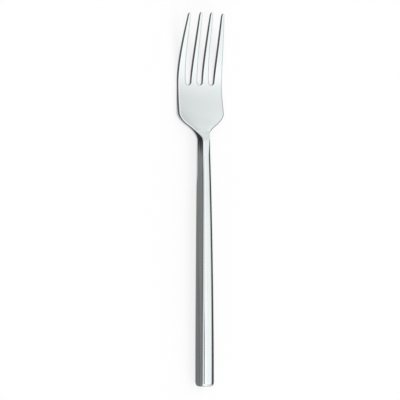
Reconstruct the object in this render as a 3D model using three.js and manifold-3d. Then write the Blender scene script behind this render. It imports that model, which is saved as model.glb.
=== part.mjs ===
// Dessert fork with a hollow handle, lying on its back on a table.
// Millimetres. +Y runs from the butt to the tine tips, +Z is up, the table is z = 0.
import * as THREE from 'three';
import { mergeVertices } from 'three/addons/utils/BufferGeometryUtils.js';
import Module from 'manifold-3d';

const wasm = await Module();
wasm.setup();

// Lengths along the fork, from the tine tips back to the butt.
const TINE_LENGTH = 34.8;
const PALM_LENGTH = 13.3;
const SHOULDER_LENGTH = 13.6;
const HANDLE_LENGTH = 118.3;

// Head seen from above.
const HEAD_WIDTH = 24.8;
const SLOT_PITCH = 6.4;
const SLOT_WIDTH = 3.1;
const TIP_WIDTH = 1.2;
const INNER_TIP_X = 2.95;
const OUTER_TIP_X = 9.3;
const OUTER_TINE_SETBACK = 0.4;
const INNER_TINE_WAIST = 1.93;
const OUTER_TINE_WAIST = 3.25;
const WAIST_ABOVE_ROOT = 12.2;
const NECK_FLARE_LENGTH = 3.7;
const SHOULDER_CORNER_LENGTH = 3.0;

// Head seen from the side: heights of its front face and its thickness.
const TIP_HEIGHT = 9.3;
const TIP_THICKNESS = 1.4;
const TINE_DIP_FRONT = 2.7;
const TINE_DIP_BACK = 3.7;
const PALM_THICKNESS = 2.05;
const RAMP_LENGTH = 6.0;
const RAMP_FOOT_HEIGHT = 4.7;

// Handle: a slim bar, nearly square, that widens and deepens towards the butt.
const NECK_WIDTH = 4.1;
const BUTT_WIDTH = 6.7;
const WIDTH_SWELL = 0.3;
const NECK_DEPTH = 7.4;
const BUTT_DEPTH = 8.1;
const DEPTH_SWELL = 0.7;
const NECK_LIFT = 0.6;
const FRONT_EDGE_RADIUS = 1.0;
const BACK_EDGE_RADIUS = 1.1;
const BUTT_RADIUS = 1.6;

// Inside of the handle: pressed walls, the tang and the filler that beds it.
const SHELL_WALL = 0.7;
const BOND_GAP = 0.1;
const FILLER_SKIN = 0.4;
const TANG_LENGTH = 45;

// How finely curves are drawn.
const CURVE_STEPS = 8;
const CORNER_STEPS = 3;
const HANDLE_STEPS = 10;
const BUTT_STEPS = 3;

// A cut runs this far past the faces that it opens.
const OVERCUT = 1;

// Places along the fork, with the origin halfway between the butt and the inner tine tips.
const overallLength = HANDLE_LENGTH + SHOULDER_LENGTH + PALM_LENGTH + TINE_LENGTH;
const buttY = -overallLength / 2;
const jointY = buttY + HANDLE_LENGTH;
const shoulderY = jointY + SHOULDER_LENGTH;
const slotY = shoulderY + PALM_LENGTH;
const tipY = slotY + TINE_LENGTH;

const neckHalf = NECK_WIDTH / 2;
const headHalf = HEAD_WIDTH / 2;

// Closed solid from a geometry whose triangles only need their shared corners merged.
function solidFrom(geometry) {
  const bare = geometry.clone();
  bare.deleteAttribute('normal');
  bare.deleteAttribute('uv');
  const merged = mergeVertices(bare);
  return new wasm.Manifold(
    new wasm.Mesh({
      numProp: 3,
      vertProperties: new Float32Array(merged.attributes.position.array),
      triVerts: new Uint32Array(merged.index.array),
    }),
  );
}

function geometryFrom(solid) {
  const mesh = solid.getMesh();
  const geometry = new THREE.BufferGeometry();
  geometry.setAttribute('position', new THREE.BufferAttribute(mesh.vertProperties, 3));
  geometry.setIndex(new THREE.BufferAttribute(mesh.triVerts, 1));
  geometry.computeVertexNormals();
  return geometry;
}

// Plan outline in x and y, pulled straight up from below the table to above the fork.
function standingSolid(shape) {
  const height = TIP_HEIGHT + NECK_LIFT + NECK_DEPTH + OVERCUT;
  const geometry = new THREE.ExtrudeGeometry(shape, {
    depth: height + OVERCUT,
    bevelEnabled: false,
    curveSegments: CURVE_STEPS,
  });
  geometry.translate(0, 0, -OVERCUT);
  return solidFrom(geometry);
}

// Side outline in y and z, pulled straight across the fork.
function crossSolid(shape) {
  const reach = Math.max(HEAD_WIDTH, BUTT_WIDTH) + OVERCUT;
  const geometry = new THREE.ExtrudeGeometry(shape, {
    depth: 2 * reach,
    bevelEnabled: false,
    curveSegments: CURVE_STEPS,
  });
  geometry.translate(0, 0, -reach);
  const acrossX = new THREE.Matrix4().makeBasis(
    new THREE.Vector3(0, 1, 0),
    new THREE.Vector3(0, 0, 1),
    new THREE.Vector3(1, 0, 0),
  );
  geometry.applyMatrix4(acrossX);
  return solidFrom(geometry);
}

function box(width, fromY, toY, depth, centreZ) {
  const geometry = new THREE.BoxGeometry(width, toY - fromY, depth);
  geometry.translate(0, (fromY + toY) / 2, centreZ);
  return solidFrom(geometry);
}

// Handle measures at a place y: t runs from 0 at the joint with the head to 1 at the butt.
function handleAt(y) {
  const t = (jointY - y) / HANDLE_LENGTH;
  const swell = 4 * t * (1 - t);
  const width = THREE.MathUtils.lerp(NECK_WIDTH, BUTT_WIDTH, t) + swell * WIDTH_SWELL;
  const depth = THREE.MathUtils.lerp(NECK_DEPTH, BUTT_DEPTH, t) + swell * DEPTH_SWELL;
  const back = NECK_LIFT * (1 - t);
  return { width, depth, centre: back + depth / 2 };
}

// Rounded rectangle across the fork at y: small corners in front, wider ones at the back.
function barRing(y, halfWidth, halfDepth, centre, inset) {
  const signs = [[1, 1], [-1, 1], [-1, -1], [1, -1]];
  const ring = [];
  signs.forEach(([signX, signZ], quarter) => {
    const radius = signZ > 0 ? FRONT_EDGE_RADIUS : BACK_EDGE_RADIUS;
    const corner = Math.min(Math.max(radius - inset, BOND_GAP), halfWidth, halfDepth);
    for (let step = 0; step <= CORNER_STEPS; step += 1) {
      const angle = (quarter + step / CORNER_STEPS) * (Math.PI / 2);
      ring.push(new THREE.Vector3(
        signX * (halfWidth - corner) + corner * Math.cos(angle),
        y,
        centre + signZ * (halfDepth - corner) + corner * Math.sin(angle),
      ));
    }
  });
  return ring;
}

// Section of the handle at y with its sides moved in by inset.
function handleRing(y, inset) {
  const { width, depth, centre } = handleAt(y);
  return barRing(y, width / 2 - inset, depth / 2 - inset, centre, inset);
}

// Closed solid through rings that run from low y to high y and have equally many points.
function loft(rings) {
  const count = rings[0].length;
  const index = [];
  for (let row = 0; row + 1 < rings.length; row += 1) {
    for (let column = 0; column < count; column += 1) {
      const here = row * count + column;
      const beside = row * count + (column + 1) % count;
      index.push(here, here + count, beside, beside, here + count, beside + count);
    }
  }
  const last = (rings.length - 1) * count;
  for (let column = 1; column + 1 < count; column += 1) {
    index.push(0, column, column + 1);
    index.push(last, last + column + 1, last + column);
  }
  const geometry = new THREE.BufferGeometry().setFromPoints(rings.flat());
  geometry.setIndex(index);
  return solidFrom(geometry);
}

// Outer form of the handle: its last rings close in on the butt along a quarter circle.
function handleForm() {
  const rings = [];
  for (let step = 0; step <= BUTT_STEPS; step += 1) {
    const angle = (step / BUTT_STEPS) * (Math.PI / 2);
    const fromButt = BUTT_RADIUS * (1 - Math.cos(angle));
    const inset = BUTT_RADIUS * (1 - Math.sin(angle));
    rings.push(handleRing(buttY + fromButt, inset));
  }
  const startY = buttY + BUTT_RADIUS;
  for (let step = 1; step <= HANDLE_STEPS; step += 1) {
    rings.push(handleRing(THREE.MathUtils.lerp(startY, jointY, step / HANDLE_STEPS), 0));
  }
  return loft(rings);
}

// Hollow or filling of the handle, set in from its outside and running up to endY.
function handleCore(inset, endY) {
  const startY = buttY + inset;
  const rings = [];
  for (let step = 0; step <= HANDLE_STEPS; step += 1) {
    rings.push(handleRing(THREE.MathUtils.lerp(startY, endY, step / HANDLE_STEPS), inset));
  }
  return loft(rings);
}

// Everything on one side of the seam, which runs down the middle of the handle's depth.
function seamSide(limitZ) {
  const fromY = buttY - OVERCUT;
  const toY = jointY + OVERCUT;
  const buttZ = handleAt(buttY).centre;
  const slope = (handleAt(jointY).centre - buttZ) / HANDLE_LENGTH;
  const shape = new THREE.Shape();
  shape.moveTo(fromY, buttZ - slope * OVERCUT);
  shape.lineTo(toY, handleAt(jointY).centre + slope * OVERCUT);
  shape.lineTo(toY, limitZ);
  shape.lineTo(fromY, limitZ);
  shape.closePath();
  return crossSolid(shape);
}

// Four tines from right to left, each with its sides' starts at the root and bends at the waist.
function tines() {
  const slotHalf = SLOT_WIDTH / 2;
  const outer = {
    tipX: OUTER_TIP_X,
    tipY: tipY - OUTER_TINE_SETBACK,
    roots: [headHalf, SLOT_PITCH + slotHalf],
    waists: [headHalf, headHalf - OUTER_TINE_WAIST],
  };
  const inner = {
    tipX: INNER_TIP_X,
    tipY,
    roots: [SLOT_PITCH - slotHalf, slotHalf],
    waists: [INNER_TIP_X + INNER_TINE_WAIST / 2, INNER_TIP_X - INNER_TINE_WAIST / 2],
  };
  const mirrored = (tine) => ({
    tipX: -tine.tipX,
    tipY: tine.tipY,
    roots: tine.roots.map((x) => -x).reverse(),
    waists: tine.waists.map((x) => -x).reverse(),
  });
  return [outer, inner, mirrored(inner), mirrored(outer)];
}

// Outline of the head from above: neck, shoulders, palm and tines, with round slot ends.
function headPlan() {
  const rootY = slotY + SLOT_WIDTH / 2;
  const waistY = rootY + WAIST_ABOVE_ROOT;
  const tipRadius = TIP_WIDTH / 2;
  const flareY = jointY + NECK_FLARE_LENGTH;
  const cornerY = shoulderY - SHOULDER_CORNER_LENGTH;
  const middleX = (neckHalf + headHalf) / 2;
  const middleY = (flareY + cornerY) / 2;
  const slotCentres = [SLOT_PITCH, 0, -SLOT_PITCH];

  const shape = new THREE.Shape();
  shape.moveTo(neckHalf, jointY);
  shape.quadraticCurveTo(neckHalf, flareY, middleX, middleY);
  shape.quadraticCurveTo(headHalf, cornerY, headHalf, shoulderY);
  tines().forEach((tine, position) => {
    const arcY = tine.tipY - tipRadius;
    shape.lineTo(tine.roots[0], rootY);
    shape.quadraticCurveTo(tine.waists[0], waistY, tine.tipX + tipRadius, arcY);
    shape.absarc(tine.tipX, arcY, tipRadius, 0, Math.PI, false);
    shape.quadraticCurveTo(tine.waists[1], waistY, tine.roots[1], rootY);
    if (position < slotCentres.length) {
      shape.absarc(slotCentres[position], rootY, SLOT_WIDTH / 2, 0, Math.PI, true);
    }
  });
  shape.lineTo(-headHalf, shoulderY);
  shape.quadraticCurveTo(-headHalf, cornerY, -middleX, middleY);
  shape.quadraticCurveTo(-neckHalf, flareY, -neckHalf, jointY);
  shape.closePath();
  return shape;
}

// Outline of the head from the side: tines sweep down into the palm, which climbs a ramp to the neck.
function headProfile() {
  const tineThird = TINE_LENGTH / 3;
  const tineQuarter = TINE_LENGTH / 4;
  const palmHalf = PALM_LENGTH / 2;
  const rampY = jointY + RAMP_LENGTH;
  const neckTop = NECK_LIFT + NECK_DEPTH;
  const tipBack = TIP_HEIGHT - TIP_THICKNESS;
  const footSlope = (RAMP_FOOT_HEIGHT - PALM_THICKNESS) / (slotY - rampY);

  const shape = new THREE.Shape();
  shape.moveTo(tipY, TIP_HEIGHT);
  shape.bezierCurveTo(
    tipY - tineThird, TIP_HEIGHT - TINE_DIP_FRONT,
    slotY + tineQuarter, PALM_THICKNESS,
    slotY, PALM_THICKNESS,
  );
  shape.bezierCurveTo(
    slotY - palmHalf, PALM_THICKNESS,
    rampY + palmHalf, RAMP_FOOT_HEIGHT - footSlope * palmHalf,
    rampY, RAMP_FOOT_HEIGHT,
  );
  shape.bezierCurveTo(
    rampY - RAMP_LENGTH / 2, RAMP_FOOT_HEIGHT + footSlope * RAMP_LENGTH,
    jointY + RAMP_LENGTH / 3, neckTop,
    jointY, neckTop,
  );
  shape.lineTo(jointY, NECK_LIFT);
  shape.bezierCurveTo(
    jointY + SHOULDER_LENGTH / 2, NECK_LIFT / 2,
    shoulderY + palmHalf / 2, 0,
    slotY, 0,
  );
  shape.bezierCurveTo(
    slotY + tineQuarter, 0,
    tipY - tineThird, tipBack - TINE_DIP_BACK,
    tipY, tipBack,
  );
  shape.closePath();
  return shape;
}

// Room for the head that narrows to the handle's own section at the joint, so the two meet flush.
function neckEnvelope() {
  const halfWidth = headHalf + OVERCUT;
  const halfDepth = TIP_HEIGHT + NECK_LIFT + NECK_DEPTH;
  const { centre } = handleAt(jointY);
  return loft([
    handleRing(jointY, 0),
    barRing(shoulderY, halfWidth, halfDepth, centre, 0),
    barRing(tipY + OVERCUT, halfWidth, halfDepth, centre, 0),
  ]);
}

// Space round the tang, or the tang itself, set in from the outside of the neck.
function tangSolid(grow, fromY, toY) {
  const set = SHELL_WALL + FILLER_SKIN + 2 * BOND_GAP - grow;
  return box(NECK_WIDTH - 2 * set, fromY, toY, NECK_DEPTH - 2 * set, handleAt(jointY).centre);
}

function forkHead() {
  const outlines = standingSolid(headPlan()).intersect(crossSolid(headProfile()));
  const blade = outlines.intersect(neckEnvelope());
  const tang = tangSolid(0, jointY - TANG_LENGTH, jointY + OVERCUT);
  return blade.add(tang);
}

function handleShell(limitZ) {
  const hollow = handleCore(SHELL_WALL, jointY + OVERCUT);
  return handleForm().subtract(hollow).intersect(seamSide(limitZ));
}

function handleFiller() {
  const pocket = tangSolid(BOND_GAP, jointY - TANG_LENGTH - BOND_GAP, jointY + OVERCUT);
  return handleCore(SHELL_WALL + BOND_GAP, jointY - BOND_GAP).subtract(pocket);
}

function steel(color, roughness) {
  return new THREE.MeshStandardMaterial({ color, roughness, metalness: 1 });
}

function part(name, solid, material) {
  const mesh = new THREE.Mesh(geometryFrom(solid), material);
  mesh.name = name;
  return mesh;
}

const aboveHandle = NECK_LIFT + NECK_DEPTH + BUTT_DEPTH + DEPTH_SWELL;
const fillerMaterial = new THREE.MeshStandardMaterial({ color: 0x8f8a80, roughness: 0.9, metalness: 0 });

const fork = new THREE.Group();
fork.name = 'dessert_fork';
fork.add(part('fork_head', forkHead(), steel(0xd9dcdd, 0.14)));
fork.add(part('handle_front_shell', handleShell(aboveHandle), steel(0xd6d9da, 0.16)));
fork.add(part('handle_back_shell', handleShell(-OVERCUT), steel(0xd3d6d7, 0.16)));
fork.add(part('handle_filler', handleFiller(), fillerMaterial));

export default fork;
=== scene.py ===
"""A slim polished dessert fork with a hollow, bar-shaped handle, lying on a pale studio floor.

Sizes are in millimetres and become metres where a mesh is made. +Y runs from the butt to the tine tips,
+X is to the right seen from above and +Z is up, out of the fork's front face.
"""
from __future__ import annotations

import logging
import math
from dataclasses import dataclass
from enum import Enum
from typing import Any

import bmesh
import bpy
import numpy as np
from mathutils import Matrix, Vector

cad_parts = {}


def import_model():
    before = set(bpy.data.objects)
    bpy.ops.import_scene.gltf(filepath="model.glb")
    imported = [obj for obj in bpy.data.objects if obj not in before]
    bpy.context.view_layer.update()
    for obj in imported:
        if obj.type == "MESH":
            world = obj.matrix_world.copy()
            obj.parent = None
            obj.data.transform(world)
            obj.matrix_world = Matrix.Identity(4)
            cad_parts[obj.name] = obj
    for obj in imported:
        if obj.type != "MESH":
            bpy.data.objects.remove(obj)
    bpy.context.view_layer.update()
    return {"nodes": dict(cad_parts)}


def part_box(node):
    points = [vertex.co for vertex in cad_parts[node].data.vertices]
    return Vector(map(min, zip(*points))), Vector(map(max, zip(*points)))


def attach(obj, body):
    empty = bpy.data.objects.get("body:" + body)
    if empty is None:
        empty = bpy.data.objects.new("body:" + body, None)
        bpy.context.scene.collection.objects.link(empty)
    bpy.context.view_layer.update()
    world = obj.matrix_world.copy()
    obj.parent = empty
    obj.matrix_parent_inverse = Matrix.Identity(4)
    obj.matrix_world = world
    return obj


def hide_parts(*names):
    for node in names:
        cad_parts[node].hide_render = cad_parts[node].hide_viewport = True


LOG = logging.getLogger("dessert_fork")
MM = 0.001
WELD_MM = 0.001
SHARP_ANGLE = math.radians(40.0)
QUARTER_TURN = math.pi / 2.0
WHITE = "#ffffff"
Array = np.ndarray
Pair = tuple[float, float]
Triple = tuple[float, float, float]
Tree = bpy.types.NodeTree
Socket = bpy.types.NodeSocket
Sockets = dict[str, Socket]


class Half(Enum):
    """The handle's pressed halves and the head's faces, with the way that each one looks along Z."""

    FRONT = 1.0
    BACK = -1.0


class Curve(Enum):
    """How a stretched value runs between its ends, with Blender's names."""

    STRAIGHT = "LINEAR"
    SMOOTH = "SMOOTHSTEP"


def linear_rgba(hex_code: str) -> tuple[float, float, float, float]:
    """Turn an sRGB hex colour into linear light.

    Args:
        hex_code: a colour such as "#c8cccb".

    Returns:
        Red, green, blue and an alpha of one.
    """
    srgb = np.array([int(hex_code[place:place + 2], 16) for place in (1, 3, 5)]) / 255.0
    linear = np.where(srgb <= 0.04045, srgb / 12.92, ((srgb + 0.055) / 1.055) ** 2.4)
    red, green, blue = linear.tolist()
    return red, green, blue, 1.0


def bezier(controls: list[Pair], t: Array) -> Array:
    """Points of a Bezier curve: neighbouring control points are mixed by t until one is left.

    Args:
        controls: the control points, from start to end.
        t: places along the curve, from 0 to 1.

    Returns:
        One point for each place.
    """
    level = np.repeat(np.array(controls, dtype=float)[None], len(t), axis=0)
    share = t[:, None, None]
    while level.shape[1] > 1:
        level = level[:, :-1] * (1.0 - share) + level[:, 1:] * share
    return level[:, 0]


def bezier_normal(controls: list[Pair], t: Array) -> Array:
    """Unit normals on the right-hand side of a Bezier curve: its direction turned by a quarter.

    Args:
        controls: the control points, from start to end.
        t: places along the curve, from 0 to 1.

    Returns:
        One unit vector for each place.
    """
    steps = np.diff(np.array(controls, dtype=float), axis=0)
    along = bezier([tuple(step) for step in steps], t)
    across = np.stack([along[:, 1], -along[:, 0]], axis=1)
    return across / np.linalg.norm(across, axis=1, keepdims=True)


def ease(t: Array) -> Array:
    """Smooth step from 0 to 1 that starts and ends level."""
    held = np.clip(t, 0.0, 1.0)
    return held * held * (3.0 - 2.0 * held)


def grid_faces(rows: int, columns: int, wrap: bool, first: int) -> Array:
    """Quads of a grid of points that is stored row by row.

    Args:
        rows: how many rows the grid has.
        columns: how many columns the grid has.
        wrap: whether the last column joins the first.
        first: index of the grid's first point.

    Returns:
        Four point indices for each quad.
    """
    steps = columns if wrap else columns - 1
    row, column = np.meshgrid(np.arange(rows - 1), np.arange(steps), indexing="ij")
    beside = (column + 1) % columns
    low = first + row * columns
    high = low + columns
    return np.stack([low + column, low + beside, high + beside, high + column], axis=-1).reshape(-1, 4)


@dataclass
class Patch:
    """A grid of points in millimetres, with rows along its first axis."""

    points: Array
    wrap: bool = False


def make_piece(name: str, patches: list[Patch]) -> bpy.types.Object:
    """Weld patches into one closed, smooth mesh object with its faces outwards.

    Args:
        name: name of the object and its mesh.
        patches: the grids that together close the surface.

    Returns:
        The object, at the origin, linked to the scene.
    """
    points: list[Array] = []
    faces: list[Array] = []
    first = 0
    for patch in patches:
        rows, columns, _ = patch.points.shape
        points.append(patch.points.reshape(-1, 3) * MM)
        faces.append(grid_faces(rows, columns, patch.wrap, first))
        first += rows * columns
    mesh = bpy.data.meshes.new(name)
    mesh.from_pydata(np.concatenate(points).tolist(), [], np.concatenate(faces).tolist())
    shell = bmesh.new()
    shell.from_mesh(mesh)
    bmesh.ops.remove_doubles(shell, verts=shell.verts, dist=WELD_MM * MM)
    bmesh.ops.dissolve_degenerate(shell, edges=shell.edges, dist=WELD_MM * MM)
    bmesh.ops.recalc_face_normals(shell, faces=shell.faces)
    shell.to_mesh(mesh)
    shell.free()
    mesh.polygons.foreach_set("use_smooth", [True] * len(mesh.polygons))
    mesh.set_sharp_from_angle(angle=SHARP_ANGLE)
    piece = bpy.data.objects.new(name, mesh)
    bpy.context.scene.collection.objects.link(piece)
    return piece


@dataclass
class Edge:
    """One side of a tine in plan, with the way out of the steel at each place.

    Where the side still lies inside the palm, the way out is a zero vector.
    """

    points: Array
    outward: Array

    @staticmethod
    def curved(controls: list[Pair], t: Array, facing: float = 1.0) -> Edge:
        """A side along a Bezier curve that looks to the curve's right, or left if facing is -1."""
        return Edge(bezier(controls, t), facing * bezier_normal(controls, t))

    @staticmethod
    def straight(points: Array) -> Edge:
        """A side that looks straight to the right."""
        return Edge(points, np.broadcast_to(np.array([1.0, 0.0]), points.shape))

    @staticmethod
    def joined(*stretches: Edge) -> Edge:
        """Stretches of a side, end to end."""
        points = np.concatenate([stretch.points for stretch in stretches])
        return Edge(points, np.concatenate([stretch.outward for stretch in stretches]))

    def inset(self, distance: Array) -> Array:
        """Move each place into the steel by its own distance."""
        return self.points - self.outward * distance[:, None]

    def mirrored(self) -> Edge:
        """The same side on the fork's left half."""
        flip = np.array([-1.0, 1.0])
        return Edge(self.points * flip, self.outward * flip)

    def part(self, rows: slice) -> Edge:
        """The same side along some of its rows only."""
        return Edge(self.points[rows], self.outward[rows])


@dataclass
class Handle:
    """Bar-shaped handle of two pressed halves that meet in a flush seam down both sides."""

    butt_y: float
    joint_y: float
    neck_width: float = 4.1
    butt_width: float = 6.7
    width_swell: float = 0.3
    neck_depth: float = 7.4
    butt_depth: float = 8.1
    depth_swell: float = 0.7
    neck_lift: float = 0.6
    neck_edge: Pair = (0.6, 0.4)
    upper_edge: Pair = (1.4, 0.65)
    butt_edge: Pair = (2.1, 0.9)
    upper_share: float = 0.06
    neck_back_radius: float = 1.9
    butt_back_radius: float = 1.2
    plan_radius: float = 0.6
    back_end_radius: float = 2.2
    end_length: float = 2.2
    end_across: float = 1.4
    end_down: float = 1.0
    wall: float = 0.7
    least_radius: float = 0.1
    length_steps: int = 90
    butt_steps: int = 20
    corner_steps: int = 14
    side_steps: int = 4
    face_steps: int = 8

    def share(self, y: Array) -> Array:
        """How far along the handle y lies: 0 at the joint with the head, 1 at the butt."""
        return (self.joint_y - y) / (self.joint_y - self.butt_y)

    def measures(self, y: Array) -> tuple[Array, Array, Array]:
        """Width and the heights of the back and front faces: straight tapers plus a parabolic swell.

        Args:
            y: places along the handle.

        Returns:
            Width, back height and front height at each place.
        """
        t = self.share(y)
        swell = 4.0 * t * (1.0 - t)
        width = self.neck_width + (self.butt_width - self.neck_width) * t + swell * self.width_swell
        depth = self.neck_depth + (self.butt_depth - self.neck_depth) * t + swell * self.depth_swell
        back = self.neck_lift * (1.0 - t)
        return width, back, back + depth

    def neck_fall(self) -> float:
        """How steeply the front face falls towards the tines where it meets the head."""
        rise = self.butt_depth - self.neck_depth + 4.0 * self.depth_swell - self.neck_lift
        return rise / (self.joint_y - self.butt_y)

    def seam(self, y: Array) -> Array:
        """Height of the seam: a straight line between the middles of the neck and of the butt."""
        neck_middle = self.neck_lift + self.neck_depth / 2.0
        butt_middle = self.butt_depth / 2.0
        return neck_middle + (butt_middle - neck_middle) * self.share(y)

    def corner(self, half: Half, y: Array) -> tuple[Array, Array]:
        """Reach of the rounded long edges: a round edge at the back, a flat, wide crown in front.

        Args:
            half: front or back half of the handle.
            y: places along the handle.

        Returns:
            How far the rounding reaches across and down at each place.
        """
        t = self.share(y)
        if half is Half.BACK:
            radius = self.neck_back_radius + (self.butt_back_radius - self.neck_back_radius) * ease(t)
            return radius, radius
        places = [0.0, self.upper_share, 1.0]
        edges = zip(self.neck_edge, self.upper_edge, self.butt_edge)
        across, down = (np.interp(t, places, sizes) for sizes in edges)
        return across, down

    def end_rounding(self, y: Array, length: float, size: float) -> Array:
        """How far an elliptical rounding draws the surface in near the butt.

        Args:
            y: places along the handle.
            length: how far from the butt the rounding starts.
            size: how far the surface has moved in at the butt's end face.

        Returns:
            The inset at each place, nothing before the rounding starts.
        """
        left = 1.0 - np.clip((y - self.butt_y) / length, 0.0, 1.0)
        return size * (1.0 - np.sqrt(1.0 - left * left))

    def skin(self, half: Half, y: Array, depth: float) -> Array:
        """Half sections carried along the handle: wall, rounded edge, face, rounded edge, wall.

        Args:
            half: front or back half of the handle.
            y: places along the handle.
            depth: how far the skin lies under the outside: 0 outside, the wall inside.

        Returns:
            A grid of points, one section in each row.
        """
        width, back, front = self.measures(y)
        drawn_in = self.end_rounding(y, self.plan_radius, self.plan_radius)
        half_width = (width / 2.0 - drawn_in - depth)[:, None]
        if half is Half.FRONT:
            face = front - self.end_rounding(y, *self.butt_edge) - depth
        else:
            face = back + self.end_rounding(y, self.back_end_radius, self.back_end_radius) + depth
        face = face[:, None]
        seam = self.seam(y)[:, None]
        across, down = (
            np.maximum(
                size + self.end_rounding(y, self.end_length, more) - depth, self.least_radius
            )[:, None]
            for size, more in zip(self.corner(half, y), (self.end_across, self.end_down))
        )
        across = np.minimum(across, half_width)
        turn = np.linspace(0.0, QUARTER_TURN, self.corner_steps + 1)
        rise = np.linspace(0.0, 1.0, self.side_steps + 1)[:-1]
        reach = np.linspace(-1.0, 1.0, self.face_steps + 1)[1:-1]
        edge_start = face - half.value * down
        side_x = np.repeat(-half_width, len(rise), axis=1)
        side_z = seam + (edge_start - seam) * rise
        round_x = -half_width + across * (1.0 - np.cos(turn))
        round_z = edge_start + half.value * down * np.sin(turn)
        face_x = (half_width - across) * reach
        face_z = np.repeat(face, len(reach), axis=1)
        x = np.concatenate([side_x, round_x, face_x, -round_x[:, ::-1], -side_x[:, ::-1]], axis=1)
        z = np.concatenate([side_z, round_z, face_z, round_z[:, ::-1], side_z[:, ::-1]], axis=1)
        return np.stack([x, np.repeat(y[:, None], x.shape[1], axis=1), z], axis=-1)

    def closed(self, skin: Array, end_y: float) -> Array:
        """Add a last row that draws the end of a skin together at its middle.

        Args:
            skin: grid of sections from the joint to the butt.
            end_y: where the end face lies.

        Returns:
            The grid with one more row.
        """
        middle = np.array([0.0, end_y, float(self.seam(np.array([end_y]))[0])])
        return np.concatenate([skin, np.broadcast_to(middle, (1, skin.shape[1], 3))])

    def build(self, half: Half, name: str) -> bpy.types.Object:
        """Make one half: outer skin, inner skin, the rims between them and the open mouth's lip.

        Args:
            half: front or back half of the handle.
            name: name of the piece.

        Returns:
            The closed half shell.
        """
        turn = np.linspace(0.0, QUARTER_TURN, self.butt_steps + 1)[1:]
        start_y = self.butt_y + max(self.end_length, self.back_end_radius, self.butt_edge[0])
        straight = np.linspace(self.joint_y, start_y, self.length_steps + 1)
        outer_y = np.concatenate([straight, self.butt_y + (start_y - self.butt_y) * (1.0 - np.sin(turn))])
        inner_y = np.linspace(self.joint_y, self.butt_y + self.wall, len(outer_y))
        outer = self.closed(self.skin(half, outer_y, 0.0), self.butt_y)
        inner = self.closed(self.skin(half, inner_y, self.wall), self.butt_y + self.wall)
        rims = [np.stack([outer[:, side], inner[:, side]], axis=1) for side in (0, -1)]
        mouth = np.stack([outer[0], inner[0]])
        return make_piece(name, [Patch(grid) for grid in (outer, inner, *rims, mouth)])


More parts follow.
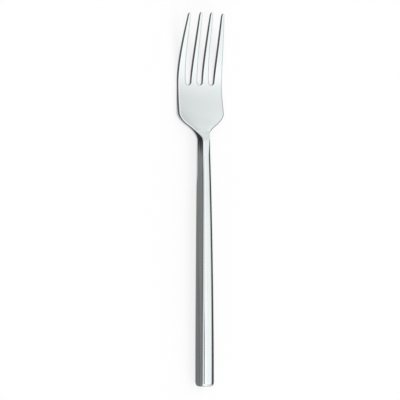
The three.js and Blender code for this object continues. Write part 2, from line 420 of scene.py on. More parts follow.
@dataclass
class ForkHead:
    """Forged head: tines, palm, shoulders, neck and the tang that the handle hides."""

    handle: Handle
    tip_y: float
    half_width: float
    tine_length: float = 34.8
    palm_length: float = 13.3
    palm_taper: float = 0.3
    shoulder_length: float = 13.6
    slot_pitch: float = 6.4
    slot_width: float = 3.1
    tip_width: float = 1.2
    tip_stretch: float = 3.2
    inner_tip_x: float = 2.95
    outer_tip_x: float = 9.3
    outer_setback: float = 0.4
    inner_waist: float = 1.93
    outer_waist: float = 3.25
    waist_above_root: float = 12.2
    flare_length: float = 3.7
    corner_length: float = 3.0
    tip_height: float = 9.3
    tip_thickness: float = 1.4
    dip_front: float = 2.7
    dip_back: float = 3.7
    palm_thickness: float = 2.05
    ramp_length: float = 6.0
    ramp_foot: float = 4.7
    ramp_top_share: float = 0.3
    ramp_foot_share: float = 0.45
    tang_length: float = 45.0
    tang_margin: float = 1.3
    slot_lip: float = 0.8
    dish_depth: float = 0.1
    rim_rise: float = 0.085
    rim_fade: float = 8.0
    rim_power: int = 3
    front_across: tuple[float, ...] = (0.5, 0.47, 0.25, 0.15)
    front_down: tuple[float, ...] = (0.38, 0.36, 0.2, 0.15)
    back_radii: tuple[float, ...] = (0.9, 0.6, 0.4, 0.25)
    profile_steps: int = 1500
    flare_steps: int = 26
    corner_steps: int = 22
    palm_steps: int = 28
    slot_steps: int = 14
    tine_steps: int = 70
    tip_steps: int = 9
    round_steps: int = 8
    strip_steps: int = 10

    def __post_init__(self) -> None:
        """Work out the places along the head and the tables of its side profile and its plan."""
        self.joint_y = self.handle.joint_y
        self.shoulder_y = self.joint_y + self.shoulder_length
        self.slot_y = self.shoulder_y + self.palm_length
        self.root_y = self.slot_y + self.slot_width / 2.0
        self.waist_y = self.root_y + self.waist_above_root
        self.tip_radius = self.tip_width / 2.0
        self.front_table, self.back_table = self.side_profile()
        self.side_table = self.palm_side().points

    def side_profile(self) -> tuple[Array, Array]:
        """Front and back outlines from the side, as Bezier stretches joined end to end.

        Returns:
            Two tables of y and z, each in rising order of y.
        """
        t = np.linspace(0.0, 1.0, self.profile_steps)
        third = self.tine_length / 3.0
        quarter = self.tine_length / 4.0
        palm_half = self.palm_length / 2.0
        ramp_y = self.joint_y + self.ramp_length
        neck_top = self.handle.neck_lift + self.handle.neck_depth
        lift = self.handle.neck_lift
        tip_back = self.tip_height - self.tip_thickness
        slope = (self.ramp_foot - self.palm_thickness) / (self.slot_y - ramp_y)
        top_run = self.ramp_top_share * self.ramp_length
        foot_run = self.ramp_foot_share * self.ramp_length
        ramp = [
            (self.joint_y, neck_top),
            (self.joint_y + top_run, neck_top - top_run * self.handle.neck_fall()),
            (ramp_y - foot_run, self.ramp_foot + foot_run * slope),
            (ramp_y, self.ramp_foot),
        ]
        palm = [
            (ramp_y, self.ramp_foot),
            (ramp_y + palm_half, self.ramp_foot - slope * palm_half),
            (self.slot_y - palm_half, self.palm_thickness),
            (self.slot_y, self.palm_thickness),
        ]
        tine = [
            (self.slot_y, self.palm_thickness),
            (self.slot_y + quarter, self.palm_thickness),
            (self.tip_y - third, self.tip_height - self.dip_front),
            (self.tip_y, self.tip_height),
        ]
        belly = [
            (self.joint_y, lift),
            (self.joint_y + self.shoulder_length / 2.0, lift / 2.0),
            (self.shoulder_y + palm_half / 2.0, 0.0),
            (self.slot_y, 0.0),
        ]
        tine_back = [
            (self.slot_y, 0.0),
            (self.slot_y + quarter, 0.0),
            (self.tip_y - third, tip_back - self.dip_back),
            (self.tip_y, tip_back),
        ]
        front = np.concatenate([bezier(stretch, t) for stretch in (ramp, palm, tine)])
        back = np.concatenate([bezier(stretch, t) for stretch in (belly, tine_back)])
        return front, back

    def dish(self, x: Array, y: Array) -> Array:
        """How deep the palm's front is dished: a parabola across, and a rim that rises along the shoulders.

        Args:
            x: places across the head.
            y: places along the head.

        Returns:
            The depth at each place.
        """
        ramp_y = self.joint_y + self.ramp_length
        fade = ease((y - ramp_y) / self.ramp_length) * ease((self.waist_y - y) / self.palm_length)
        palm = self.dish_depth * fade * np.clip(1.0 - (x / self.half_width) ** 2, 0.0, 1.0)
        edge_x = np.interp(y, self.side_table[:, 1], self.side_table[:, 0])
        end_y = self.shoulder_y + self.rim_fade / 2.0
        fade = ease((y - self.joint_y) / self.flare_length) * ease((end_y - y) / self.rim_fade)
        return palm + self.rim_rise * fade * np.clip(1.0 - np.abs(x / edge_x) ** self.rim_power, 0.0, 1.0)

    def height(self, half: Half, x: Array, y: Array) -> Array:
        """Height of the front face, less its dish, or of the back face.

        Args:
            half: front or back face.
            x: places across the head.
            y: places along the head.

        Returns:
            The height at each place.
        """
        if half is Half.BACK:
            return np.interp(y, *self.back_table.T)
        return np.interp(y, *self.front_table.T) - self.dish(x, y)

    def rounding(self, half: Half, y: Array) -> tuple[Array, Array]:
        """Reach of the edges' rounding: the handle's own at the joint, fine on palm and tines.

        Args:
            half: front or back edges.
            y: places along the head.

        Returns:
            How far the rounding reaches across and down at each place, both alike at the back.
        """
        beyond = [self.shoulder_y, self.slot_y, self.tip_y]
        if half is Half.BACK:
            places = [self.joint_y, (self.joint_y + self.shoulder_y) / 2.0, *beyond]
            radius = np.interp(y, places, [self.handle.neck_back_radius, *self.back_radii])
            return radius, radius
        places = [self.joint_y, self.joint_y + self.ramp_length, *beyond]
        across, down = self.handle.neck_edge
        return (
            np.interp(y, places, [across, *self.front_across]),
            np.interp(y, places, [down, *self.front_down]),
        )

    def palm_side(self) -> Edge:
        """Right side from the joint to just short of the slots: neck flare, shoulder, straight side.

        Returns:
            The side, with its outward normals.
        """
        flare_y = self.joint_y + self.flare_length
        corner_y = self.shoulder_y - self.corner_length
        neck_half = self.handle.neck_width / 2.0
        middle = ((neck_half + self.half_width) / 2.0, (flare_y + corner_y) / 2.0)
        flare = [(neck_half, self.joint_y), (neck_half, flare_y), middle]
        corner = [middle, (self.half_width, corner_y), (self.half_width, self.shoulder_y)]
        flare_t = np.linspace(0.0, 1.0, self.flare_steps)
        corner_t = np.linspace(0.0, 1.0, self.corner_steps)[1:]
        side_y = np.linspace(self.shoulder_y, self.slot_y - self.slot_lip, self.palm_steps)[1:]
        taper = self.palm_taper * ease((side_y - self.shoulder_y) / self.palm_length)
        side = np.stack([self.half_width - taper, side_y], axis=1)
        return Edge.joined(Edge.curved(flare, flare_t), Edge.curved(corner, corner_t), Edge.straight(side))

    def tine_side(self, root_x: float, waist_x: float, tip: Pair, facing: float) -> Edge:
        """One side of a tine from its root to the top of its tip, half an ellipse.

        Args:
            root_x: where the side starts, at the height of the slots' centres.
            waist_x: the bend's control point.
            tip: top of the tine.
            facing: +1 if the side looks to the right, -1 if it looks to the left.

        Returns:
            The side, without its first point.
        """
        arc_y = tip[1] - self.tip_radius * self.tip_stretch
        shaft_end = (tip[0] + facing * self.tip_radius, arc_y)
        controls = [(root_x, self.root_y), (waist_x, self.waist_y), shaft_end]
        t = np.linspace(0.0, 1.0, self.tine_steps)[1:]
        turn = np.linspace(0.0, QUARTER_TURN, self.tip_steps)[1:]
        stretch = np.array([1.0, self.tip_stretch])
        arc = np.stack([facing * np.cos(turn), np.sin(turn)], axis=1)
        outward = arc / stretch
        outward /= np.linalg.norm(outward, axis=1, keepdims=True)
        end = np.array([tip[0], arc_y]) + self.tip_radius * arc * stretch
        return Edge.joined(Edge.curved(controls, t, facing), Edge(end, outward))

    def slot_side(self, palm: Edge, centre: float, slot_facing: float, tine: Edge) -> Edge:
        """Side of a tine that faces a slot: a line through the palm, the slot's round end, the tine.

        Args:
            palm: the palm's right side, which sets the rows.
            centre: x of the slot's centre line.
            slot_facing: +1 for the slot's right side, -1 for its left side.
            tine: the free stretch of the side.

        Returns:
            The whole side, one place for each row.
        """
        radius = self.slot_width / 2.0
        turn = np.linspace(0.0, QUARTER_TURN, self.slot_steps)
        line = palm.points * np.array([centre / self.half_width, 1.0])
        inward = np.stack([-slot_facing * np.sin(turn), np.cos(turn)], axis=1)
        arc = np.array([centre, self.root_y]) - radius * inward
        return Edge.joined(Edge(line, np.zeros_like(line)), Edge(arc, inward), tine)

    def right_edges(self) -> tuple[list[Edge], int]:
        """The four sides of the two right-hand tines, from the outside in, row by row.

        Returns:
            The sides and the row of the slots' bottoms.
        """
        palm = self.palm_side()
        slot_half = self.slot_width / 2.0
        outer_tip = (self.outer_tip_x, self.tip_y - self.outer_setback)
        inner_tip = (self.inner_tip_x, self.tip_y)
        turn = np.linspace(0.0, QUARTER_TURN, self.slot_steps)
        beside_y = self.root_y - slot_half * np.cos(turn)
        root_x = self.half_width - self.palm_taper
        beside = np.stack([np.full_like(beside_y, root_x), beside_y], axis=1)
        outer = self.tine_side(root_x, root_x, outer_tip, 1.0)
        outside = Edge.joined(palm, Edge.straight(beside), outer)
        waist = self.inner_waist / 2.0
        pitch = self.slot_pitch
        sides = [
            (pitch, 1.0, pitch + slot_half, self.half_width - self.outer_waist, outer_tip),
            (pitch, -1.0, pitch - slot_half, self.inner_tip_x + waist, inner_tip),
            (0.0, 1.0, slot_half, self.inner_tip_x - waist, inner_tip),
        ]
        inside = [
            self.slot_side(palm, centre, facing, self.tine_side(start_x, waist_x, tip, -facing))
            for centre, facing, start_x, waist_x, tip in sides
        ]
        return [outside, *inside], len(palm.points)

    def outline(self, right: list[Edge], slot_row: int) -> Edge:
        """Run round the head from the joint's right corner over every tine to its left corner.

        Args:
            right: the four right-hand sides, from the outside in.
            slot_row: row of the slots' bottoms.

        Returns:
            One long side with its outward normals.
        """
        up = slice(slot_row + 1, None)
        down = slice(-2, slot_row - 1, -1)
        run = Edge.joined(right[0], right[1].part(down), right[2].part(up), right[3].part(down))
        return Edge.joined(run, run.part(slice(-2, None, -1)).mirrored())

    def band(self, outline: Edge) -> Array:
        """Rim all round the head: front rounding, upright wall and back rounding as quarter circles.

        Args:
            outline: the run round the head.

        Returns:
            A grid with one row for each place of the outline, from front to back.
        """
        turn = np.linspace(0.0, QUARTER_TURN, self.round_steps + 1)
        rings: list[Array] = []
        for half, angles in ((Half.FRONT, turn), (Half.BACK, turn[::-1])):
            across, down = self.rounding(half, outline.points[:, 1])
            for angle in angles:
                place = outline.inset(across * (1.0 - math.sin(angle)))
                z = self.height(half, *place.T) - half.value * down * (1.0 - math.cos(angle))
                rings.append(np.column_stack([place, z]))
        return np.stack(rings, axis=1)

    def face(self, edges: list[Edge], half: Half) -> Array:
        """Front or back face: a strip of straight rungs for each tine, side by side in the palm.

        Args:
            edges: all eight sides from left to right.
            half: front or back face.

        Returns:
            One grid for each of the four strips, stacked.
        """
        reach = np.linspace(0.0, 1.0, self.strip_steps + 1)[None, :, None]
        strips: list[Array] = []
        for pair in zip(edges[0::2], edges[1::2]):
            start, stop = (side.inset(self.rounding(half, side.points[:, 1])[0])[:, None] for side in pair)
            plan = start + (stop - start) * reach
            x, y = plan[..., 0], plan[..., 1]
            strips.append(np.stack([x, y, self.height(half, x, y)], axis=-1))
        return np.stack(strips)

    def tang(self, fronts: Array, backs: Array, band: Array) -> Array:
        """Step from the neck's section to a smaller one like it, drawn out into the handle.

        Args:
            fronts: the front strips.
            backs: the back strips.
            band: the rim.

        Returns:
            A closed ring in each row, from the neck to the drawn-together end of the tang.
        """
        top = fronts[:, 0].reshape(-1, 3)
        under = backs[:, 0].reshape(-1, 3)[::-1]
        neck = np.concatenate([top, band[0], under, band[-1][::-1]])
        middle = np.array([0.0, self.joint_y, self.handle.neck_lift + self.handle.neck_depth / 2.0])
        scale = np.array([
            1.0 - 2.0 * self.tang_margin / self.handle.neck_width,
            0.0,
            1.0 - 2.0 * self.tang_margin / self.handle.neck_depth,
        ])
        root = middle + (neck - middle) * scale
        back_off = np.array([0.0, self.tang_length, 0.0])
        end = np.broadcast_to(middle - back_off, neck.shape)
        return np.stack([neck, root, root - back_off, end])

    def build(self, name: str) -> bpy.types.Object:
        """Make the head as one closed piece.

        Args:
            name: name of the piece.

        Returns:
            The forged head with its tang.
        """
        right, slot_row = self.right_edges()
        edges = [edge.mirrored() for edge in right] + right[::-1]
        fronts, backs = (self.face(edges, half) for half in Half)
        band = self.band(self.outline(right, slot_row))
        patches = [Patch(strip) for strip in (*fronts, *backs)]
        patches += [Patch(band), Patch(self.tang(fronts, backs, band), wrap=True)]
        return make_piece(name, patches)


def add_node(
    tree: Tree, kind: str, inputs: dict[str | int, Any] | None = None, **settings: Any
) -> bpy.types.Node:
    """Add a node, set its properties and fill or link its inputs.

    Args:
        tree: the node tree.
        kind: Blender's name for the node.
        inputs: for each input, a value or the output socket that feeds it.
        **settings: properties of the node.

    Returns:
        The new node.
    """
    node = tree.nodes.new(kind)
    for key, value in settings.items():
        setattr(node, key, value)
    for socket, value in (inputs or {}).items():
        if isinstance(value, Socket):
            tree.links.new(value, node.inputs[socket])
        else:
            node.inputs[socket].default_value = value
    return node


def empty_material(name: str) -> tuple[bpy.types.Material, Tree]:
    """A new material with a bare node tree.

    Args:
        name: the material's name.

    Returns:
        The material and its tree.
    """
    material = bpy.data.materials.new(name)
    material.use_nodes = True
    material.node_tree.nodes.clear()
    return material, material.node_tree


def blend(tree: Tree, share: Socket, low: Any, high: Any) -> Socket:
    """Mix two colours by a share: the mix node takes colours at inputs 6 and 7, and output 2 is theirs.

    Args:
        tree: the node tree.
        share: 0 for the first colour, 1 for the second.
        low: the first colour, a hex code or a socket.
        high: the second colour, a hex code or a socket.

    Returns:
        The mixed colour.
    """
    ends = [linear_rgba(end) if isinstance(end, str) else end for end in (low, high)]
    mix = add_node(tree, "ShaderNodeMix", {"Factor": share, 6: ends[0], 7: ends[1]}, data_type="RGBA")
    return mix.outputs[2]


def remap(
    tree: Tree, value: Socket, span: Pair, low: Any, high: Any, curve: Curve = Curve.SMOOTH
) -> Socket:
    """Stretch a span of values onto another.

    Args:
        tree: the node tree.
        value: what is stretched.
        span: the values that become low and high.
        low: a number or a socket.
        high: a number or a socket.
        curve: how the new value runs between them.

    Returns:
        The new value.
    """
    node = add_node(
        tree, "ShaderNodeMapRange",
        {"Value": value, "From Min": span[0], "From Max": span[1], "To Min": low, "To Max": high},
        interpolation_type=curve.value,
    )
    return node.outputs["Result"]


def hump(tree: Tree, value: Socket, span: Triple, height: Any) -> Socket:
    """Rise from 0 and fall back to 0 over a span of values.

    Args:
        tree: the node tree.
        value: what is looked at.
        span: the values at the start, the top and the end.
        height: a number or a socket, reached at the top.

    Returns:
        The new value.
    """
    start, top, end = span
    fall = remap(tree, value, (end, top), 0.0, height)
    return remap(tree, value, (start, top), 0.0, fall)


def metres(lengths_mm: tuple[float, ...]) -> tuple[float, ...]:
    """Turn lengths in millimetres into metres."""
    return tuple(length * MM for length in lengths_mm)


def compute(tree: Tree, operation: str, *values: Any) -> Socket:
    """Work out a number by one of Blender's math operations, from numbers or sockets."""
    return add_node(tree, "ShaderNodeMath", dict(enumerate(values)), operation=operation).outputs["Value"]


def axes(tree: Tree, vector: Socket) -> Sockets:
    """Take a vector apart into its X, Y and Z."""
    parts = add_node(tree, "ShaderNodeSeparateXYZ", {"Vector": vector})
    return {axis: parts.outputs[axis] for axis in "XYZ"}


def noise(tree: Tree, where: Socket, size_mm: Pair, detail: float) -> Socket:
    """Noise that may be drawn out along the fork, as a polishing wheel or belt leaves it.

    Args:
        tree: the node tree.
        where: object coordinates.
        size_mm: size of the pattern across and along the fork.
        detail: how many finer layers it has.

    Returns:
        The noise's value.
    """
    across, along = (1.0 / size for size in metres(size_mm))
    drawn = add_node(tree, "ShaderNodeMapping", {"Vector": where, "Scale": (across, along, across)})
    inputs = {"Vector": drawn.outputs["Vector"], "Scale": 1.0, "Detail": detail}
    return add_node(tree, "ShaderNodeTexNoise", inputs).outputs["Fac"]


@dataclass(frozen=True)
class PolishedSteel:
    """Stainless steel with mirror-polished faces and sides that are brushed along the fork.

    The faces give clear reflections, faintly drawn out by fine polishing lines. The sides are rougher, with
    long soft streaks, and coloured with a painted shade, darker steel that stands for dark surroundings
    mirrored in them, made paler towards the neck by painted light; low down, where they turn under, they
    keep the faces' colour. A painted black shade lies beside the neck. A thin painted shade line follows
    the lower front's turn, and a soft one, the rim, the upper sides.
    Levels are Z of the surface's normal: 0 on upright sides, 1 on the front.
    """

    name: str
    pale: str
    deep: str
    # Painted shade: the sides' two colours are darker steel that stands for dark surroundings mirrored in
    # the sides; their streaks are real brushing.
    shaded_side_pale: str
    shaded_side_deep: str
    line_mm: Pair
    line_relief: float
    cloud_mm: Pair
    roughness: Pair
    climb_span_mm: Pair
    climb_mm: Pair
    neck_shade_span_mm: Pair
    side_lift: float
    # Painted shade: strength of a soft dark band on the rounded long edges of the handle's upper part.
    rim_shade_depth: float
    # Painted light: the share by which the sides' painted shade grows paler towards the neck.
    upper_side_light: float
    side_roughness: float = 0.3
    relief_mm: float = 0.01
    drawn_detail: float = 3.0
    cloud_detail: float = 2.0
    noise_span: Pair = (0.3, 0.7)
    streak_mm: Pair = (0.9, 100.0)
    streak_span: Pair = (0.35, 0.65)
    climb_fade_mm: Pair = (-0.5, 0.5)
    side_level: Pair = (0.55, 0.3)
    side_turn: Pair = (0.2, 0.45)
    # Painted shade: a near-black colour on the sides beside the neck, standing for a dark reflection there.
    neck_shade: str = "#0b0e0d"
    neck_shade_finger_mm: float = 4.0
    # Painted shade: colour of two dark lines, a thin one along the lower front's turn and a soft one along
    # the high sides.
    shade_line: str = "#363a39"
    crease_end: float = 0.4
    crease_turn: Pair = (0.05, 0.25)
    crease_span_mm: Pair = (-45.0, -68.0)
    crease_level: Triple = (0.92, 0.953, 0.984)
    rim_span_mm: Triple = (-34.0, 11.0, 25.0)
    rim_level: Triple = (-0.05, 0.7, 0.982)

    def side_shade_share(self, tree: Tree, slope: Sockets, place: Sockets) -> Socket:
        """Where the sides get their painted shade: on steep surfaces that look left or right, above a
        height that climbs along the fork.

        Args:
            tree: the node tree.
            slope: X, Y and Z of the surface's normal.
            place: X, Y and Z of the place.

        Returns:
            0 where the steel keeps its own colour, 1 where the painted shade is full.
        """
        # Painted shade goes on steep surfaces that look sideways, above a height that climbs along the
        # fork.
        level, sideways = (compute(tree, "ABSOLUTE", slope[axis]) for axis in ("Z", "X"))
        climb = remap(tree, place["Y"], metres(self.climb_span_mm), *metres(self.climb_mm))
        above = compute(tree, "SUBTRACT", place["Z"], climb)
        shaded_side = remap(tree, above, metres(self.climb_fade_mm), 0.0, 1.0)
        beside = remap(tree, sideways, self.side_turn, 0.0, shaded_side)
        lift = remap(tree, place["Y"], metres(self.crease_span_mm), self.side_lift, 0.0)
        steep = compute(tree, "SUBTRACT", level, lift)
        return remap(tree, steep, self.side_level, 0.0, beside)

    def crease_shade_share(self, tree: Tree, slope: Sockets, place: Sockets) -> Socket:
        """Where the lower front turns over into its rounded edge, a thin line of painted shade.

        Args:
            tree: the node tree.
            slope: X, Y and Z of the surface's normal.
            place: X, Y and Z of the place.

        Returns:
            1 on the line, less across the butt, 0 away from it.
        """
        shown = remap(tree, place["Y"], metres(self.crease_span_mm), 0.0, 1.0)
        faint = compute(tree, "MULTIPLY", shown, self.crease_end)
        sideways = compute(tree, "ABSOLUTE", slope["X"])
        shown = remap(tree, sideways, self.crease_turn, faint, shown, Curve.STRAIGHT)
        return hump(tree, slope["Z"], self.crease_level, shown)

    def tint(self, tree: Tree, where: Socket, slope: Sockets, place: Sockets, side: Socket) -> Socket:
        """Colour of the steel: cloudy faces, streaked sides under a painted shade, a painted black shade
        beside the neck and two painted shade lines.

        Args:
            tree: the node tree.
            where: object coordinates.
            slope: X, Y and Z of the surface's normal.
            place: X, Y and Z of the place.
            side: 0 where the steel keeps its own colour, 1 where the sides' painted shade is full.

        Returns:
            The colour.
        """
        y = place["Y"]
        streaks = noise(tree, where, self.streak_mm, self.drawn_detail)
        clouds = noise(tree, where, self.cloud_mm, self.cloud_detail)
        face = blend(tree, clouds, self.deep, self.pale)
        # Painted shade: a thin dark line along the lower front's turn.
        face = blend(tree, self.crease_shade_share(tree, slope, place), face, self.shade_line)
        # Painted light: the sides grow paler towards the neck.
        upper = remap(tree, y, metres(self.rim_span_mm[:2]), 0.0, self.upper_side_light)
        streak_share = remap(tree, streaks, self.streak_span, upper, 1.0, Curve.STRAIGHT)
        # Painted shade: the sides' darker colour, streaked along the fork.
        shaded_side = blend(tree, streak_share, self.shaded_side_deep, self.shaded_side_pale)
        # Painted shade: a near-black patch on the sides beside the neck, with a ragged, streaked edge.
        finger = self.neck_shade_finger_mm * MM
        shift = remap(tree, streaks, self.noise_span, -finger, finger, Curve.STRAIGHT)
        reach = compute(tree, "ADD", y, shift)
        neck_shade_share = remap(tree, reach, metres(self.neck_shade_span_mm), 0.0, 1.0)
        shaded_side = blend(tree, neck_shade_share, shaded_side, self.neck_shade)
        # Painted shade: a soft dark band where the high sides turn to the front.
        shown = hump(tree, y, metres(self.rim_span_mm), self.rim_shade_depth)
        rim = hump(tree, slope["Z"], self.rim_level, shown)
        return blend(tree, rim, blend(tree, side, face, shaded_side), self.shade_line)

    def material(self) -> bpy.types.Material:
        """Build the material: its slope tells faces from sides, noise makes lines and streaks.

        Returns:
            The material.
        """
        material, tree = empty_material(self.name)
        coordinates = add_node(tree, "ShaderNodeTexCoord").outputs
        slope, place = (axes(tree, coordinates[kind]) for kind in ("Normal", "Object"))
        side = self.side_shade_share(tree, slope, place)
        tint = self.tint(tree, coordinates["Object"], slope, place, side)
        lines = noise(tree, coordinates["Object"], self.line_mm, self.drawn_detail)
        face_gloss = remap(tree, lines, self.noise_span, *self.roughness, Curve.STRAIGHT)
        gloss = remap(tree, side, (0.0, 1.0), face_gloss, self.side_roughness, Curve.STRAIGHT)
        relief = add_node(
            tree, "ShaderNodeBump",
            {"Height": lines, "Strength": self.line_relief, "Distance": self.relief_mm * MM},
        )
        shader = add_node(
            tree, "ShaderNodeBsdfPrincipled",
            {"Base Color": tint, "Metallic": 1.0, "Roughness": gloss, "Normal": relief.outputs["Normal"]},
        )
        add_node(tree, "ShaderNodeOutputMaterial", {"Surface": shader.outputs["BSDF"]})
        return material


@dataclass(frozen=True)
class ResinCement:
    """Grey mineral-filled resin, poured into the handle: dull, with a fine sandy grain."""

    name: str = "resin_cement"
    pale: str = "#a29b8e"
    dark: str = "#6f6a60"
    grain_mm: Pair = (0.4, 0.4)
    grain_detail: float = 4.0
    relief: float = 0.4
    relief_mm: float = 0.1
    roughness: float = 0.9

    def material(self) -> bpy.types.Material:
        """Build the material: fine noise gives the sandy grain and its relief.

        Returns:
            The material.
        """
        material, tree = empty_material(self.name)
        place = add_node(tree, "ShaderNodeTexCoord").outputs["Object"]
        grain = noise(tree, place, self.grain_mm, self.grain_detail)
        relief = add_node(
            tree, "ShaderNodeBump",
            {"Height": grain, "Strength": self.relief, "Distance": self.relief_mm * MM},
        )
        shader = add_node(
            tree, "ShaderNodeBsdfPrincipled",
            {"Base Color": blend(tree, grain, self.dark, self.pale), "Roughness": self.roughness,
             "Normal": relief.outputs["Normal"]},
        )
        add_node(tree, "ShaderNodeOutputMaterial", {"Surface": shader.outputs["BSDF"]})
        return material


@dataclass(frozen=True)
class MattePaper:
    """Seamless studio paper: matt and even, lifted towards white where it is seen or mirrored."""

    name: str
    colour: str
    glow: float

    def material(self) -> bpy.types.Material:
        """Build the material: a diffuse surface with a share of plain white for the rays that look at it.

        Returns:
            The material.
        """
        material, tree = empty_material(self.name)
        paper = add_node(
            tree, "ShaderNodeBsdfDiffuse", {"Color": linear_rgba(self.colour), "Roughness": 0.0}
        )
        white = add_node(tree, "ShaderNodeEmission", {"Color": linear_rgba(WHITE), "Strength": 1.0})
        rays = add_node(tree, "ShaderNodeLightPath").outputs
        mirrored = compute(tree, "MAXIMUM", rays["Is Glossy Ray"], rays["Is Transmission Ray"])
        seen = compute(tree, "MAXIMUM", rays["Is Camera Ray"], mirrored)
        share = compute(tree, "MULTIPLY", seen, self.glow)
        mix = add_node(
            tree, "ShaderNodeMixShader",
            {0: share, 1: paper.outputs["BSDF"], 2: white.outputs["Emission"]},
        )
        add_node(tree, "ShaderNodeOutputMaterial", {"Surface": mix.outputs["Shader"]})
        return material


@dataclass(frozen=True)
class Softbox:
    """A large, distant softbox that looks at the fork, feathered towards its edges.

    The first turn swings it from overhead towards +X, the second one towards the tines. Sizes are its
    width and length, and its radiance changes from the butt's end to the tines' end.
    """

    name: str
    turn_degrees: Pair
    size_m: Pair
    radiance: Pair
    across_feather: Pair
    along_feather: Pair
    change_m: Pair = (-1.8, 1.2)
    distance_m: float = 4.0

    def glow(self, tree: Tree) -> None:
        """Build the lamp's shader: its level changes along its length and fades at its edges.

        Args:
            tree: the lamp's node tree.
        """
        tree.nodes.clear()
        surface = add_node(tree, "ShaderNodeNewGeometry")
        place = axes(tree, surface.outputs["Parametric"])
        change = tuple(0.5 + y / self.size_m[1] for y in self.change_m)
        level = remap(tree, place["Y"], change, *self.radiance)
        for axis, (first, last) in (("X", self.across_feather), ("Y", self.along_feather)):
            level = remap(tree, place[axis], (0.0, first), 0.0, level)
            level = remap(tree, place[axis], (1.0 - last, 1.0), level, 0.0)
        emission = add_node(tree, "ShaderNodeEmission", {"Strength": level})
        add_node(tree, "ShaderNodeOutputLight", {"Surface": emission.outputs["Emission"]})

    def build(self) -> None:
        """Place the lamp, hidden from the camera."""
        lamp = bpy.data.lights.new(self.name, "AREA")
        lamp.shape = "RECTANGLE"
        lamp.size, lamp.size_y = self.size_m
        lamp.energy = math.pi * lamp.size * lamp.size_y
        lamp.use_nodes = True
        self.glow(lamp.node_tree)
        holder = bpy.data.objects.new(self.name, lamp)
        bpy.context.scene.collection.objects.link(holder)
        roll_degrees, pitch_degrees = self.turn_degrees
        roll = Matrix.Rotation(math.radians(roll_degrees), 4, "Y")
        pitch = Matrix.Rotation(math.radians(-pitch_degrees), 4, "X")
        holder.matrix_world = pitch @ roll @ Matrix.Translation((0.0, 0.0, self.distance_m))
        holder.visible_camera = False


@dataclass
class Studio:
    """Camera, lights and pale floor."""

    swing_degrees: float = 30.0
    roll_degrees: float = -0.46
    frame_mm: float = 192.75
    distance_mm: float = 1400.0
    sensor_mm: float = 36.0
    aim_mm: Triple = (-1.47, -0.17, 3.6)
    floor_half_m: float = 6.0
    floor_gap_mm: float = 0.02
    world_level: Pair = (0.38, 0.08)
    world_turn: Pair = (0.45, 0.8)
    clip_m: float = 100.0

    def build_camera(self) -> None:
        """Look down on the fork's front from its left, with the tines up and a long lens."""
        lens = bpy.data.cameras.new("photo_camera")
        lens.sensor_width = self.sensor_mm
        lens.sensor_fit = "HORIZONTAL"
        lens.lens = self.sensor_mm * self.distance_mm / self.frame_mm
        lens.clip_end = self.clip_m
        camera = bpy.data.objects.new("photo_camera", lens)
        bpy.context.scene.collection.objects.link(camera)
        swing = math.radians(self.swing_degrees)
        level = Vector((math.cos(swing), 0.0, math.sin(swing)))
        towards = level.cross(Vector((0.0, 1.0, 0.0)))
        right = Matrix.Rotation(math.radians(self.roll_degrees), 3, towards) @ level
        up = towards.cross(right)
        pose = Matrix((right, up, towards)).transposed().to_4x4()
        pose.translation = (Vector(self.aim_mm) + towards * self.distance_mm) * MM
        camera.matrix_world = pose
        bpy.context.scene.camera = camera

    def build_floor(self) -> None:
        """Lay the paper just under the fork: one flat quad."""
        reach = self.floor_half_m / MM
        edge = np.array([-reach, reach])
        x, y = np.meshgrid(edge, edge)
        points = np.stack([x, y, np.full_like(x, -self.floor_gap_mm)], axis=-1)
        mesh = bpy.data.meshes.new("paper_floor")
        mesh.from_pydata((points.reshape(-1, 3) * MM).tolist(), [], grid_faces(2, 2, False, 0).tolist())
        floor = bpy.data.objects.new("paper_floor", mesh)
        bpy.context.scene.collection.objects.link(floor)
        floor.data.materials.append(FLOOR_PAPER.material())

    def build_lights(self) -> None:
        """Hang the softboxes and set a grey fill all round, darker on the fork's right."""
        for softbox in SOFTBOXES:
            softbox.build()
        world = bpy.data.worlds.new("grey_fill")
        bpy.context.scene.world = world
        world.use_nodes = True
        tree = world.node_tree
        tree.nodes.clear()
        towards = axes(tree, add_node(tree, "ShaderNodeTexCoord").outputs["Generated"])
        level = remap(tree, towards["X"], self.world_turn, *self.world_level)
        background = add_node(
            tree, "ShaderNodeBackground", {"Color": linear_rgba(WHITE), "Strength": level}
        )
        add_node(tree, "ShaderNodeOutputWorld", {"Surface": background.outputs["Background"]})


SOFTBOXES = (
    Softbox(
        "right_softbox", turn_degrees=(22.5, 0.0), size_m=(3.3, 11.0), radiance=(1.5, 1.03),
        across_feather=(0.1, 0.4), along_feather=(0.05, 0.3),
    ),
    Softbox(
        "left_softbox", turn_degrees=(-23.0, 0.0), size_m=(3.5, 11.0), radiance=(0.95, 0.95),
        across_feather=(0.2, 0.08), along_feather=(0.2, 0.2),
    ),
    Softbox(
        "tine_end_softbox", turn_degrees=(30.0, 60.0), size_m=(7.0, 4.4), radiance=(1.0, 1.0),
        across_feather=(0.7, 0.1), along_feather=(0.4, 0.05),
    ),
    Softbox(
        "butt_end_softbox", turn_degrees=(10.0, -55.0), size_m=(8.0, 4.4), radiance=(0.8, 0.8),
        across_feather=(0.1, 0.1), along_feather=(0.05, 0.4),
    ),
)
FLOOR_PAPER = MattePaper(name="white_paper", colour="#f7f7f7", glow=0.69)
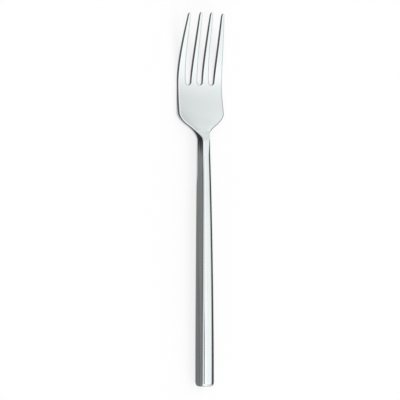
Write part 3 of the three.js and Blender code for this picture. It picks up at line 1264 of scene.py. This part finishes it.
# The side colours below are painted shade, darker steel for dark surroundings mirrored in the sides.
HEAD_STEEL = PolishedSteel(
    name="polished_steel_head", pale="#cdd2d2", deep="#c3c7c7", shaded_side_pale="#585c5b", shaded_side_deep="#3e4241",
    line_mm=(0.25, 18.0), line_relief=0.1, cloud_mm=(22.0, 22.0), roughness=(0.1, 0.16),
    climb_span_mm=(51.0, 35.0), climb_mm=(0.6, 2.8), neck_shade_span_mm=(42.0, 33.0),
    side_lift=0.0, rim_shade_depth=0.0, upper_side_light=0.0,
)
HANDLE_STEEL = PolishedSteel(
    name="polished_steel_handle", pale="#ccd1d1", deep="#c2c6c6", shaded_side_pale="#7f8382", shaded_side_deep="#626665",
    line_mm=(0.3, 40.0), line_relief=0.15, cloud_mm=(30.0, 30.0), roughness=(0.1, 0.17),
    climb_span_mm=(-4.0, 13.0), climb_mm=(-1.0, 2.8), neck_shade_span_mm=(20.0, 27.5),
    side_lift=0.22, rim_shade_depth=1.0, upper_side_light=0.6,
)


def dress(piece: bpy.types.Object, material: bpy.types.Material, node: str) -> None:
    """Give a piece its finish and let it stand for its CAD node.

    Args:
        piece: the visible piece.
        material: its finish.
        node: the CAD node that it replaces.
    """
    piece.data.materials.append(material)
    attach(piece, "root")
    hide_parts(node)
    LOG.info("%s stands for %s with %d faces", piece.name, node, len(piece.data.polygons))


def main() -> None:
    """Load the frame, build every piece, dress it and set the studio round it."""
    logging.basicConfig(level=logging.INFO, format="%(name)s: %(message)s")
    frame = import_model()
    bpy.context.scene.view_settings.view_transform = "Standard"

    shell_low, shell_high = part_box("handle_front_shell")
    _, head_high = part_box("fork_head")
    handle = Handle(butt_y=shell_low[1] / MM, joint_y=shell_high[1] / MM)
    head = ForkHead(handle=handle, tip_y=head_high[1] / MM, half_width=head_high[0] / MM)

    handle_finish = HANDLE_STEEL.material()
    dress(head.build("tined_head"), HEAD_STEEL.material(), "fork_head")
    dress(handle.build(Half.FRONT, "handle_front_half"), handle_finish, "handle_front_shell")
    dress(handle.build(Half.BACK, "handle_back_half"), handle_finish, "handle_back_shell")

    filler = frame["nodes"]["handle_filler"]
    filler.data.materials.clear()
    filler.data.materials.append(ResinCement().material())
    LOG.info("%s keeps its solid and gets a resin finish", filler.name)

    studio = Studio()
    studio.build_floor()
    studio.build_lights()
    studio.build_camera()


if __name__ == "__main__":
    main()
